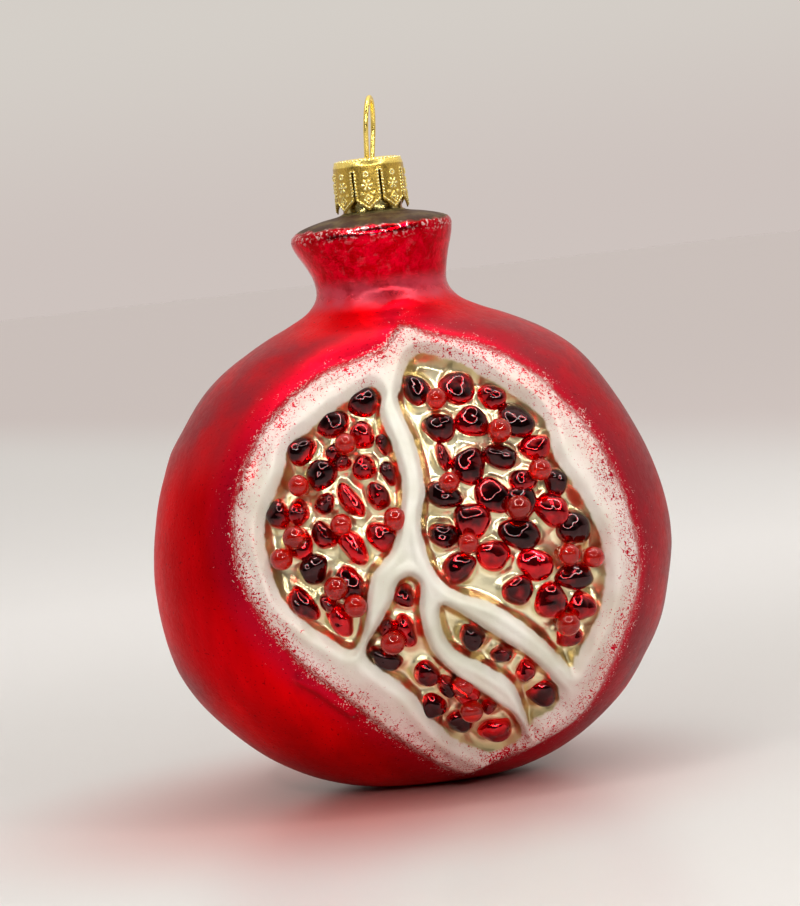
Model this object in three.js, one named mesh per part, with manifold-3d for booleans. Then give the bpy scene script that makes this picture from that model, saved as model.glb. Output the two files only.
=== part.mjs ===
import * as THREE from 'three';
import { mergeVertices } from 'three/addons/utils/BufferGeometryUtils.js';
import Module from 'manifold-3d';

// Hollow glass ornament in the shape of an opened pomegranate, in millimetres.
// It stands on a small flat under the body. +Z runs up the neck and the open side faces -Y.
// Heights called level are measured from the middle of the body, which is MIDDLE_Z above the flat.

const wasm = await Module();
wasm.setup();

const MIDDLE_Z = 37.5;

// Outside of the glass, from the flat up to the neck: level and half width
const BODY_PROFILE = [
  [-37.5, 9.0], [-36.8, 13.5], [-36.0, 16.5], [-34.0, 21.3], [-30.0, 27.4],
  [-24.0, 33.5], [-16.0, 38.7], [-8.0, 40.9], [-1.0, 41.5], [6.0, 40.6],
  [14.0, 38.2], [22.0, 34.3], [28.0, 29.9], [32.0, 25.0], [35.0, 19.5],
  [37.0, 15.0], [38.8, 12.0], [41.0, 10.5],
];
// Flared calyx and its domed top: level and radius
const CALYX_PROFILE = [
  [43.5, 10.6], [46.0, 11.4], [48.3, 12.4], [49.6, 12.8], [50.7, 12.8],
  [51.6, 12.0], [52.2, 10.6], [52.9, 7.9], [53.3, 5.6],
];
const CALYX_SHIFT = -0.7;
const CALYX_START = 43.0;
const CALYX_RIM = 50.0;

// Uneven sides of the blown body: level, and how far the left and right stand out
const SIDE_TRIM = [
  [-36.0, 0.0, 0.0], [-31.0, 0.3, -0.1], [-26.0, 0.2, -0.2], [-21.0, 0.4, -0.6],
  [-15.0, 0.3, -0.4], [-10.0, 0.1, -0.3], [-4.0, -0.3, -0.1], [2.0, -0.4, -0.2],
  [8.0, -0.3, -0.2], [14.0, 0.1, -0.1], [19.0, 0.4, 0.0], [24.0, -0.1, 0.0],
  [29.0, -0.5, 0.0], [33.0, -0.6, 0.0], [37.0, 0.0, 0.0],
];
const TRIM_FROM = 0.8;

// The body is flatter in front, where it is opened, than behind
const FRONT_DEPTH = 0.72;
const BACK_DEPTH = 0.85;
const FRONT_POWER = 2.4;
const ROUND_FROM = 30.0;
const ROUND_TO = 40.0;

const WALL = 1.3;
const RIM_RISE = 1.0;
const WELL_DEPTH = 2.4;
const FACE_BACK = 3.8;
const SEED_RISE = 2.3;
const SEED_SINK = 0.5;
const BODY_SIDES = 32;
const HOLLOW_SIDES = 20;
const CUT_PIECES = 48;
const BEHIND_PIECES = 24;
const WELL_PIECES = { left: 30, right: 34, low: 28, slot: 20 };
const SEED_SIDES = 6;
const SEED_RINGS = 4;
const SEAT_SIDES = 8;
const SEAT_RINGS = 6;

// Depth of the prisms that cut the open face, and how far other cutters reach past what they cut
const THROUGH = 60;
const PAST = 1;

// Open glass stub over the calyx, under the cap
const STUB_RADIUS = 4.7;
const STUB_BORE = 3.8;
const STUB_BOTTOM = 53.5;
const STUB_TOP = 60.9;
const BORE_START = 52.3;

// Stamped crown cap with pointed tabs
const CAP_TOP = 62.0;
const CAP_WALL = 0.45;
const CAP_TOP_RADIUS = 4.6;
const CAP_SHOULDER = [[61.7, 5.2], [61.0, 5.55], [60.0, 5.62]];
const CAP_SKIRT_RADIUS = 5.68;
const CAP_TIPS = 53.7;
const CAP_TABS = 8;
const CAP_TURN = -5;
const TAB_POINT = 1.7;
const SLIT_WIDTH = 0.4;
const SLIT_TOP = 60.0;
const WIRE_HOLE_RADIUS = 0.75;
const HOLE_DEPTH = 3;
const HOLE_SIDES = 12;
const CAP_SIDES = 32;

// Hanger: half of the bent wire in its own plane, from its inner end to its top: across and level
const WIRE_RADIUS = 0.4;
const WIRE_HALF = [
  [4.6, 44.5], [4.1, 46.8], [3.3, 50.0], [2.95, 52.5], [2.95, 57.0], [2.65, 60.2],
  [2.5, 62.2], [2.9, 64.4], [3.3, 66.5], [3.0, 69.0], [1.7, 71.0],
];
const WIRE_TOP = 71.6;
const WIRE_TURN = 80;
const WIRE_STEPS = 48;
const WIRE_ARCS = 4;
// The wire hangs tilted in the cap, turned about this level
const WIRE_LEAN = 6.5;
const WIRE_PIVOT = 58.5;

// Outlines on the open face: across and level
const CUT_OUTLINE = [
  [2.5, 35.5], [-0.5, 32.7], [-4.5, 31.4], [-9.6, 30.0], [-17.2, 25.5],
  [-22.7, 19.1], [-26.0, 12.2], [-26.8, 3.8], [-24.4, -4.8], [-19.5, -12.5],
  [-12.8, -19.4], [-5.6, -27.0], [1.2, -33.3], [4.8, -35.2], [8.7, -33.9],
  [16.5, -31.4], [23.3, -27.6], [29.7, -18.4], [34.3, -7.5], [34.0, 3.2],
  [30.1, 15.1], [22.5, 25.6], [14.8, 31.0], [6.3, 34.0],
];
const WELLS = {
  left: [
    [-3.2, 26.9], [-1.8, 25.4], [-2.3, 22.6], [-1.0, 17.7], [-0.2, 13.0],
    [-0.9, 7.8], [-2.9, 2.5], [-6.4, -1.3], [-7.6, -6.1], [-8.5, -9.4],
    [-10.4, -12.1], [-13.5, -10.5], [-19.2, -5.0], [-21.0, -1.5], [-21.9, 8.0],
    [-18.3, 14.9], [-16.8, 19.2], [-12.8, 22.0], [-7.4, 25.1],
  ],
  right: [
    [3.1, 30.5], [4.7, 31.1], [11.0, 28.6], [17.1, 24.0], [21.9, 19.4],
    [23.4, 13.1], [26.8, 6.3], [29.2, -1.8], [27.8, -10.6], [23.3, -17.5],
    [22.2, -19.3], [20.6, -17.2], [16.5, -12.1], [11.3, -7.6], [5.4, -4.5],
    [3.2, -2.0], [1.7, 5.5], [2.9, 10.9], [2.2, 18.0], [1.0, 21.8],
    [0.4, 24.6], [1.1, 26.7],
  ],
  low: [
    [-0.7, -1.7], [0.7, -3.0], [0.3, -7.8], [1.5, -13.7], [4.4, -17.4],
    [8.8, -21.5], [12.5, -25.3], [13.9, -29.3], [12.7, -30.6], [10.6, -31.7],
    [7.5, -31.4], [3.3, -28.5], [0.0, -24.4], [-2.6, -20.0], [-6.2, -16.0],
    [-8.8, -12.9], [-6.5, -8.9], [-3.9, -5.2], [-2.6, -2.4],
  ],
  slot: [
    [3.5, -6.6], [7.7, -9.3], [12.3, -13.2], [16.2, -16.6], [19.0, -20.4],
    [20.1, -22.6], [19.6, -25.0], [16.0, -27.2], [15.1, -28.1], [14.4, -25.3],
    [12.8, -20.2], [9.1, -16.9], [4.3, -13.3], [3.0, -9.3],
  ],
};

// Relief seeds: across, level, length, width and angle of the long way in degrees
const SEEDS = [
  [-5.0, 24.6, 4.9, 4.4, 20], [-10.0, 21.9, 4.9, 4.7, 0], [-5.6, 19.7, 4.3, 3.5, 80],
  [-14.8, 18.5, 4.4, 4.3, 0], [-12.2, 14.4, 4.9, 4.1, 75], [-10.0, 17.8, 3.0, 2.3, 60],
  [-8.8, 16.0, 2.7, 2.3, 0], [-5.7, 14.8, 4.0, 3.3, 60], [-2.5, 18.2, 3.2, 2.0, 110],
  [-2.1, 13.9, 3.8, 2.3, 100], [-8.3, 10.2, 6.1, 2.9, 118], [-12.4, 10.3, 3.3, 2.9, 20],
  [-4.1, 10.4, 4.1, 3.3, 125], [-19.6, 9.3, 4.5, 3.9, 110], [-16.2, 9.5, 4.0, 3.0, 100],
  [-4.3, 4.7, 4.7, 4.3, 150], [-12.8, 5.6, 4.6, 3.2, 115], [-8.6, 3.6, 5.6, 3.6, 120],
  [-16.7, 4.7, 4.6, 4.3, 90], [-15.0, 0.7, 4.4, 4.1, 30], [-10.0, -2.2, 4.9, 4.4, 120],
  [-17.2, -4.2, 5.9, 3.2, 122], [-11.8, -7.3, 5.0, 3.5, 125], [-13.4, -4.6, 3.3, 2.4, 120],
  [-1.9, -4.7, 3.8, 3.0, 100], [-2.3, -10.1, 4.9, 3.5, 110], [-5.0, -9.2, 3.2, 2.4, 60],
  [-5.9, -13.9, 5.0, 3.2, 150], [0.0, -17.1, 4.1, 3.8, 130], [0.8, -22.4, 4.3, 3.8, 120],
  [3.0, -19.6, 3.8, 2.6, 115], [5.8, -20.9, 4.4, 3.6, 150], [4.3, -25.7, 4.4, 4.0, 140],
  [9.6, -28.0, 5.4, 4.3, 170], [9.3, -23.6, 2.8, 2.3, 0], [7.8, -12.0, 4.1, 3.8, 150],
  [11.9, -15.5, 3.3, 3.0, 160], [15.1, -18.7, 3.6, 3.0, 100], [17.6, -22.8, 4.7, 4.2, 110],
  [3.6, 25.5, 5.0, 4.0, 110], [9.8, 25.4, 5.8, 5.0, 80], [14.8, 23.4, 4.4, 4.1, 0],
  [6.4, 19.6, 4.7, 4.4, 150], [11.4, 19.9, 5.2, 4.3, 170], [18.2, 19.2, 6.0, 5.1, 150],
  [20.4, 14.9, 4.6, 4.1, 20], [6.4, 15.2, 4.0, 2.4, 105], [10.2, 13.5, 5.6, 4.7, 40],
  [15.0, 14.4, 5.3, 3.8, 170], [5.8, 9.5, 5.3, 4.0, 160], [13.0, 8.8, 5.6, 5.0, 120],
  [9.6, 5.5, 5.5, 5.0, 110], [22.8, 9.4, 4.2, 3.4, 110], [17.9, 10.2, 4.3, 3.6, 20],
  [17.2, 7.0, 5.5, 5.0, 100], [21.6, 5.4, 5.6, 4.6, 115], [16.6, 2.6, 6.5, 4.4, 170],
  [24.9, 2.0, 5.4, 5.0, 140], [18.6, -2.6, 5.5, 4.6, 160], [24.2, -5.0, 6.2, 3.8, 175],
  [15.2, -6.2, 4.9, 4.3, 160], [20.2, -8.2, 5.5, 4.9, 130], [24.8, -9.8, 4.5, 4.2, 70],
  [22.2, -14.0, 4.1, 3.3, 0], [5.2, 3.6, 4.3, 3.8, 160], [12.3, -0.4, 5.2, 4.4, 150],
  [6.9, -1.5, 5.2, 4.3, 20],
];

// Glued round beads: across, level and diameter
const BEADS = [
  [-8.1, 19.0, 3.4], [-15.9, 13.5, 3.3], [-2.0, 7.1, 3.6], [-10.1, 7.1, 3.4],
  [-17.4, 5.9, 3.7], [-19.7, 2.8, 3.5], [-12.0, -2.3, 3.8], [-9.4, -5.3, 3.6],
  [-4.4, -11.6, 3.8], [6.3, -24.0, 3.6], [6.3, 24.1, 3.3], [15.3, 18.3, 3.9],
  [6.8, 11.6, 3.3], [20.7, 11.7, 3.6], [16.8, 6.6, 3.8], [23.7, -1.5, 3.4],
  [27.4, -2.5, 3.4], [22.4, -12.2, 3.8], [8.6, 2.2, 3.3], [5.4, -19.8, 3.4],
];
const BEAD_GAP = 0.45;
// How far a bead's middle stands out of the skin's own surface
const BEAD_PROUD = 0.2;
const BEAD_DETAIL = 1;

// Helpers that turn three.js geometry into solids and back

function solid(geometry) {
  const plain = geometry.clone();
  plain.deleteAttribute('normal');
  plain.deleteAttribute('uv');
  const merged = mergeVertices(plain, 1e-4);
  return new wasm.Manifold(new wasm.Mesh({
    numProp: 3,
    vertProperties: Float32Array.from(merged.attributes.position.array),
    triVerts: Uint32Array.from(merged.index.array),
  }));
}

function named(name, shape, material) {
  const { vertProperties, triVerts } = shape.getMesh();
  const geometry = new THREE.BufferGeometry();
  geometry.setAttribute('position', new THREE.BufferAttribute(vertProperties, 3));
  geometry.setIndex(new THREE.BufferAttribute(triVerts, 1));
  geometry.computeVertexNormals();
  const mesh = new THREE.Mesh(geometry, new THREE.MeshStandardMaterial(material));
  mesh.name = name;
  return mesh;
}

// Profile rows of level and radius, closed on the axis and spun about +Z
function spin(rows, sides) {
  const first = rows[0];
  const last = rows[rows.length - 1];
  const points = [[first[0], 0], ...rows, [last[0], 0]];
  const profile = points.map(([level, radius]) => new THREE.Vector2(radius, level + MIDDLE_Z));
  return new THREE.LatheGeometry(profile, sides).rotateX(Math.PI / 2);
}

// Moves a profile outwards along its own normals, never below the flat
function offset(rows, grow) {
  return rows.map(([level, radius], i) => {
    const [levelA, radiusA] = rows[Math.max(i - 1, 0)];
    const [levelB, radiusB] = rows[Math.min(i + 1, rows.length - 1)];
    const length = Math.hypot(levelB - levelA, radiusB - radiusA);
    const out = (levelB - levelA) / length;
    const down = (radiusB - radiusA) / length;
    const newLevel = i === 0 ? level - grow : level - down * grow;
    return [Math.max(newLevel, -MIDDLE_Z), radius + out * grow];
  });
}

// Share of the flattened body shape left at a level: 1 on the body and 0 on the round calyx
function flatShare(level) {
  return 1 - THREE.MathUtils.smoothstep(level, ROUND_FROM, ROUND_TO);
}

// How far a side of the body stands out of its even shape: 1 is the left column, 2 the right
function trimAt(level, column) {
  const i = SIDE_TRIM.findIndex((row) => row[0] >= level);
  if (i < 1) {
    return 0;
  }
  const rowA = SIDE_TRIM[i - 1];
  const rowB = SIDE_TRIM[i];
  return THREE.MathUtils.mapLinear(level, rowA[0], rowB[0], rowA[column], rowB[column]);
}

// Presses a spun shape into the body's own section, which is boxier in front
function press(geometry, grow) {
  const place = geometry.attributes.position;
  for (let i = 0; i < place.count; i += 1) {
    const x = place.getX(i);
    const y = place.getY(i);
    const level = place.getZ(i) - MIDDLE_Z;
    const radius = Math.hypot(x, y);
    if (radius > 1e-6) {
      const share = flatShare(level);
      const front = y < 0;
      const depth = THREE.MathUtils.lerp(1, front ? FRONT_DEPTH : BACK_DEPTH, share);
      const power = front ? THREE.MathUtils.lerp(2, FRONT_POWER, share) : 2;
      const across = Math.sign(x) * Math.abs(x / radius) ** (2 / power);
      const deep = Math.sign(y) * Math.abs(y / radius) ** (2 / power);
      const shift = CALYX_SHIFT * THREE.MathUtils.smoothstep(level, CALYX_START, CALYX_RIM)
        * (1 - THREE.MathUtils.smoothstep(level, CALYX_RIM, BORE_START));
      const side = THREE.MathUtils.smoothstep(Math.abs(x / radius), TRIM_FROM, 1);
      const trim = Math.sign(x) * side * trimAt(level, x < 0 ? 1 : 2);
      place.setX(i, radius * across + shift + trim);
      place.setY(i, (radius * depth + (1 - depth) * grow) * deep);
    }
  }
  return geometry;
}

function bodySolid(grow, sides) {
  return solid(press(spin(offset(BODY_PROFILE, grow), sides), grow));
}

// Depth of the front skin, moved out by grow, at a place on the open face
function faceY(x, level, grow) {
  const rows = BODY_PROFILE;
  const i = rows.findIndex((row, k) => k > 0 && row[0] >= level);
  const [levelA, radiusA] = rows[i - 1];
  const [levelB, radiusB] = rows[i];
  const radius = THREE.MathUtils.mapLinear(level, levelA, levelB, radiusA, radiusB);
  const share = flatShare(level);
  const depth = THREE.MathUtils.lerp(1, FRONT_DEPTH, share);
  const power = THREE.MathUtils.lerp(2, FRONT_POWER, share);
  const inside = Math.max(1 - Math.abs(x / (radius + grow)) ** power, 0);
  return -(radius * depth + grow) * inside ** (1 / power);
}

function faceNormal(x, level) {
  const step = 0.5;
  const slopeX = (faceY(x + step, level, 0) - faceY(x - step, level, 0)) / (2 * step);
  const slopeZ = (faceY(x, level + step, 0) - faceY(x, level - step, 0)) / (2 * step);
  return new THREE.Vector3(slopeX, -1, slopeZ).normalize();
}

// Closed outline on the open face, drawn smooth and pushed through the body along Y
function facePrism(outline, pieces, widen) {
  const points = outline.map(([x, level]) => new THREE.Vector3(x, level + MIDDLE_Z, 0));
  const curve = new THREE.CatmullRomCurve3(points, true, 'centripetal');
  const middle = new THREE.Vector3();
  points.forEach((point) => middle.addScaledVector(point, 1 / points.length));
  const drawn = curve.getPoints(pieces).slice(0, pieces).map((point) => {
    const away = point.clone().sub(middle).normalize().multiplyScalar(widen);
    return new THREE.Vector2(point.x + away.x, point.y + away.y);
  });
  const geometry = new THREE.ExtrudeGeometry(new THREE.Shape(drawn), {
    depth: THROUGH, bevelEnabled: false, steps: 1,
  });
  return solid(geometry.rotateX(Math.PI / 2));
}

// Low dome for one relief seed, sunk in the floor of its well. Its place is where its middle is seen.
function seedSolid([x, level, length, width, angle]) {
  const normal = faceNormal(x, level);
  const across = new THREE.Vector3(Math.cos(angle * Math.PI / 180), 0, Math.sin(angle * Math.PI / 180));
  const long = across.addScaledVector(normal, -across.dot(normal)).normalize();
  const wide = new THREE.Vector3().crossVectors(normal, long);
  const frame = new THREE.Matrix4().makeBasis(
    long.clone().multiplyScalar(length / 2),
    normal.clone().multiplyScalar(SEED_RISE + SEED_SINK),
    wide.clone().multiplyScalar(-width / 2),
  );
  const depth = faceY(x, level, SEED_RISE / 2 - WELL_DEPTH);
  const middle = new THREE.Vector3(x, depth, level + MIDDLE_Z);
  frame.setPosition(middle.addScaledVector(normal, -SEED_RISE / 2 - SEED_SINK));
  return solid(new THREE.SphereGeometry(1, SEED_SIDES, SEED_RINGS).applyMatrix4(frame));
}

// Glass body: skin, calyx, stub, raised open face, wells and relief seeds in one blown shell
function glassBody() {
  const outside = [...BODY_PROFILE, ...CALYX_PROFILE,
    [STUB_BOTTOM, STUB_RADIUS], [STUB_TOP, STUB_RADIUS]];
  const skin = solid(press(spin(outside, BODY_SIDES), 0));
  const wide = bodySolid(RIM_RISE, BODY_SIDES);
  const cut = facePrism(CUT_OUTLINE, CUT_PIECES, 0);
  const raised = skin.add(cut.intersect(wide));

  const floor = bodySolid(-WELL_DEPTH, BODY_SIDES);
  const seeds = wasm.Manifold.union(SEEDS.map(seedSolid));
  const wells = Object.keys(WELLS).map((name) => facePrism(WELLS[name], WELL_PIECES[name], 0));
  const emptied = wasm.Manifold.union(wells).subtract(floor).subtract(seeds);
  const faced = raised.subtract(emptied);

  const inner = offset([...BODY_PROFILE, ...CALYX_PROFILE.slice(0, -2)], -WALL);
  const hollow = solid(press(spin([...inner, [BORE_START, STUB_BORE], [STUB_TOP + PAST, STUB_BORE]],
    HOLLOW_SIDES), -WALL));
  const behind = facePrism(CUT_OUTLINE, BEHIND_PIECES, WALL).subtract(bodySolid(-FACE_BACK, HOLLOW_SIDES));
  const seats = wasm.Manifold.union(BEADS.map(beadSeat));
  return faced.subtract(hollow.subtract(behind)).subtract(seats);
}

// Middle of a bead, off the floor of its well so that it stands among the seeds
function beadMiddle([x, level]) {
  return new THREE.Vector3(x, faceY(x, level, BEAD_PROUD), level + MIDDLE_Z);
}

// Rounded seat in the glass for a bead, with a gap all round for the glue
function beadSeat(bead) {
  const seat = new THREE.SphereGeometry(bead[2] / 2 + BEAD_GAP, SEAT_SIDES, SEAT_RINGS);
  return solid(seat.translate(...beadMiddle(bead)));
}

// Crown cap: a thin spun cup, slit into tabs with pointed ends
function crownCap() {
  const outside = [[CAP_TIPS, CAP_SKIRT_RADIUS], ...CAP_SHOULDER.slice().reverse(),
    [CAP_TOP, CAP_TOP_RADIUS]];
  const inside = outside.map(([level, radius]) => [level - CAP_WALL, radius - CAP_WALL]);
  const cup = solid(spin(outside, CAP_SIDES)).subtract(solid(spin(inside, CAP_SIDES)));
  const reach = CAP_SKIRT_RADIUS + PAST;
  const half = Math.PI * CAP_SKIRT_RADIUS / CAP_TABS;
  const notch = new THREE.Shape([
    new THREE.Vector2(-half, CAP_TIPS - PAST),
    new THREE.Vector2(half, CAP_TIPS - PAST),
    new THREE.Vector2(half, CAP_TIPS),
    new THREE.Vector2(SLIT_WIDTH / 2, CAP_TIPS + TAB_POINT),
    new THREE.Vector2(SLIT_WIDTH / 2, SLIT_TOP),
    new THREE.Vector2(-SLIT_WIDTH / 2, SLIT_TOP),
    new THREE.Vector2(-SLIT_WIDTH / 2, CAP_TIPS + TAB_POINT),
    new THREE.Vector2(-half, CAP_TIPS),
  ]);
  const cutters = [];
  for (let tab = 0; tab < CAP_TABS; tab += 1) {
    const geometry = new THREE.ExtrudeGeometry(notch, { depth: reach, bevelEnabled: false });
    geometry.rotateX(Math.PI / 2).translate(0, 0, MIDDLE_Z);
    geometry.rotateZ((tab + 0.5) * 2 * Math.PI / CAP_TABS + CAP_TURN * Math.PI / 180);
    cutters.push(solid(geometry));
  }
  const turn = WIRE_TURN * Math.PI / 180;
  const lean = (CAP_TOP - WIRE_PIVOT) * Math.tan(WIRE_LEAN * Math.PI / 180);
  [-1, 1].forEach((side) => {
    const hole = new THREE.CylinderGeometry(WIRE_HOLE_RADIUS, WIRE_HOLE_RADIUS, HOLE_DEPTH,
      HOLE_SIDES);
    const across = side * WIRE_HALF[6][0];
    hole.rotateX(Math.PI / 2);
    hole.translate(across * Math.cos(turn) + lean, across * Math.sin(turn), CAP_TOP + MIDDLE_Z);
    cutters.push(solid(hole));
  });
  return cup.subtract(wasm.Manifold.union(cutters));
}

// Hanger: one round wire bent into a loop with two spring legs
function hangerWire() {
  const half = WIRE_HALF.map(([across, level]) => new THREE.Vector3(across, 0, level + MIDDLE_Z));
  const top = new THREE.Vector3(0, 0, WIRE_TOP + MIDDLE_Z);
  const other = half.map((point) => new THREE.Vector3(-point.x, 0, point.z)).reverse();
  const path = new THREE.CatmullRomCurve3([...half, top, ...other], false, 'centripetal');
  const round = new THREE.Shape();
  round.absarc(0, 0, WIRE_RADIUS, 0, 2 * Math.PI);
  const geometry = new THREE.ExtrudeGeometry(round, {
    steps: WIRE_STEPS, extrudePath: path, bevelEnabled: false, curveSegments: WIRE_ARCS,
  });
  geometry.rotateZ(WIRE_TURN * Math.PI / 180);
  geometry.translate(0, 0, -WIRE_PIVOT - MIDDLE_Z);
  geometry.rotateY(WIRE_LEAN * Math.PI / 180);
  return solid(geometry.translate(0, 0, WIRE_PIVOT + MIDDLE_Z));
}

const RED_GLASS = { color: 0xb3001b, roughness: 0.35, metalness: 0.1 };
const BEAD_GLASS = { color: 0xc21a10, roughness: 0.08, metalness: 0 };
const GOLD_METAL = { color: 0xd4a537, roughness: 0.25, metalness: 1 };

const ornament = new THREE.Group();
ornament.add(named('glass_body', glassBody(), RED_GLASS));
BEADS.forEach((bead, i) => {
  const ball = solid(new THREE.IcosahedronGeometry(bead[2] / 2, BEAD_DETAIL));
  const mesh = named(`bead_${String(i + 1).padStart(2, '0')}`, ball, BEAD_GLASS);
  mesh.position.copy(beadMiddle(bead));
  ornament.add(mesh);
});
ornament.add(named('cap', crownCap(), GOLD_METAL));
ornament.add(named('hanger_wire', hangerWire(), GOLD_METAL));

export default ornament;
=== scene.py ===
import math

import bpy
import numpy as np
from mathutils import Matrix, Vector


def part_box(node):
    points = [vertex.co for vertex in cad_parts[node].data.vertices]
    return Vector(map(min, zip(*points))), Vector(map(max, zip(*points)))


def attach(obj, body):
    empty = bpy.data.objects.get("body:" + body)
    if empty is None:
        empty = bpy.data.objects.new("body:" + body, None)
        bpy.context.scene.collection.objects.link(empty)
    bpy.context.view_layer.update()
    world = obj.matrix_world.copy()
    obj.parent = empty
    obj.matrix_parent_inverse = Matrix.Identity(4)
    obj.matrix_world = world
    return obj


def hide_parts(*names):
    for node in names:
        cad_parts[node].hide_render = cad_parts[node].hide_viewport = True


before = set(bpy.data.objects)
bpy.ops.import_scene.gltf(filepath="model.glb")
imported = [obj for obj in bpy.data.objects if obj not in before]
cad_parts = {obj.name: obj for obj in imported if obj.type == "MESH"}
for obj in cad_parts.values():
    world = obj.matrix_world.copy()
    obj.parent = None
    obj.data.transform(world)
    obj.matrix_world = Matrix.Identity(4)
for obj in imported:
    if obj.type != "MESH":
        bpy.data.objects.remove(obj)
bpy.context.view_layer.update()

# Sizes are in millimetres in this script. Meshes are written in metres.
# Level is a height measured from the middle of the body.
MM = 0.001
MIDDLE_Z = 37.5

# Outside of the glass, from the flat up to the stub: level and half width
FLAT_RADIUS = 9.0
BODY_PROFILE = [
    (-MIDDLE_Z, FLAT_RADIUS), (-36.8, 13.5), (-36.0, 16.5), (-34.0, 21.3), (-30.0, 27.4),
    (-24.0, 33.5), (-16.0, 38.7), (-8.0, 40.9), (-1.0, 41.5), (6.0, 40.6),
    (14.0, 38.2), (22.0, 34.3), (28.0, 29.9), (32.0, 25.0), (35.0, 19.5),
    (37.0, 15.0), (38.8, 12.0), (41.0, 10.5),
]
CALYX_PROFILE = [
    (43.5, 10.6), (46.0, 11.4), (48.3, 12.4), (49.6, 12.8), (50.7, 12.8),
    (51.6, 12.0), (52.2, 10.6), (52.9, 7.9), (53.3, 5.6),
]
STUB_RADIUS = 4.7
STUB_FOOT = 53.6
STUB_TOP = 60.9
WIDEST = 41.5
CALYX_SHIFT = -0.7
CALYX_START = 43.0
CALYX_RIM = 50.0
CALYX_END = 52.3
# Uneven sides of the blown body: level, and how far the left and right stand out
SIDE_TRIM = np.array([
    (-36.0, 0.0, 0.0), (-31.0, 0.3, -0.1), (-26.0, 0.2, -0.2), (-21.0, 0.4, -0.6),
    (-15.0, 0.3, -0.4), (-10.0, 0.1, -0.3), (-4.0, -0.3, -0.1), (2.0, -0.4, -0.2),
    (8.0, -0.3, -0.2), (14.0, 0.1, -0.1), (19.0, 0.4, 0.0), (24.0, -0.1, 0.0),
    (29.0, -0.5, 0.0), (33.0, -0.6, 0.0), (37.0, 0.0, 0.0),
])
TRIM_FROM = 0.8
FRONT_DEPTH = 0.72
BACK_DEPTH = 0.85
FRONT_POWER = 2.4
ROUND_FROM = 30.0
ROUND_TO = 40.0

# Soft unevenness of the blown glass
UNEVEN_HEIGHT = 0.12
UNEVEN_LENGTH = 22
UNEVEN_ROUND = 26

# Relief of the opened face, and the heights at which its outlines are seen
RIM_RISE = 1.0
RIM_LIFT = 0.6
WELL_LIFT = -0.6
WELL_DEPTH = 2.4
WALL_SLOPE = (-1.0, 1.3)
SOFT_WIDTH = 0.9
RIM_BEAD = 0.35
CREST_RISE = 0.3
RIPPLE_LENGTH = 7
FLOOR_RIPPLE = 0.22
SEED_FOOT = 0.6
FOLD_RISE = 0.7
SEED_RISE = 2.0
SEED_MIDDLE = 2.05
SEED_SEEN = 0.2
SEED_GROW = 1.09

# Outlines on the opened face: across and level
CUT_OUTLINE = [
    (2.5, 35.5), (-0.5, 32.7), (-4.5, 31.4), (-9.6, 30.0), (-17.2, 25.5),
    (-22.7, 19.1), (-26.0, 12.2), (-26.8, 3.8), (-24.4, -4.8), (-19.5, -12.5),
    (-12.8, -19.4), (-5.6, -27.0), (1.2, -33.3), (4.8, -35.2), (8.7, -33.9),
    (16.5, -31.4), (23.3, -27.6), (29.7, -18.4), (34.3, -7.5), (34.0, 3.2),
    (30.1, 15.1), (22.5, 25.6), (14.8, 31.0), (6.3, 34.0),
]
FOLD = [(-19.1, -15.9), (-16.5, -17.6), (-14.2, -19.8), (-11.8, -22.0)]
WELLS = {
    "left": [
        (-3.2, 26.9), (-1.8, 25.4), (-2.3, 22.6), (-1.0, 17.7), (-0.2, 13.0),
        (-0.9, 7.8), (-2.9, 2.5), (-6.4, -1.3), (-7.6, -6.1), (-8.5, -9.4),
        (-10.4, -12.1), (-13.5, -10.5), (-19.2, -5.0), (-21.0, -1.5), (-21.9, 8.0),
        (-18.3, 14.9), (-16.8, 19.2), (-12.8, 22.0), (-7.4, 25.1),
    ],
    "right": [
        (3.1, 30.5), (4.7, 31.1), (11.0, 28.6), (17.1, 24.0), (21.9, 19.4),
        (23.4, 13.1), (26.8, 6.3), (29.2, -1.8), (27.8, -10.6), (23.3, -17.5),
        (22.2, -19.3), (20.6, -17.2), (16.5, -12.1), (11.3, -7.6), (5.4, -4.5),
        (3.2, -2.0), (1.7, 5.5), (2.9, 10.9), (2.2, 18.0), (1.0, 21.8),
        (0.4, 24.6), (1.1, 26.7),
    ],
    "low": [
        (-0.7, -1.7), (0.7, -3.0), (0.3, -7.8), (1.5, -13.7), (4.4, -17.4),
        (8.8, -21.5), (12.5, -25.3), (13.9, -29.3), (12.7, -30.6), (10.6, -31.7),
        (7.5, -31.4), (3.3, -28.5), (0.0, -24.4), (-2.6, -20.0), (-6.2, -16.0),
        (-8.8, -12.9), (-6.5, -8.9), (-3.9, -5.2), (-2.6, -2.4),
    ],
    "slot": [
        (3.5, -6.6), (7.7, -9.3), (12.3, -13.2), (16.2, -16.6), (19.0, -20.4),
        (20.1, -22.6), (19.6, -25.0), (16.0, -27.2), (15.1, -28.1), (14.4, -25.3),
        (12.8, -20.2), (9.1, -16.9), (4.3, -13.3), (3.0, -9.3),
    ],
}

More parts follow.
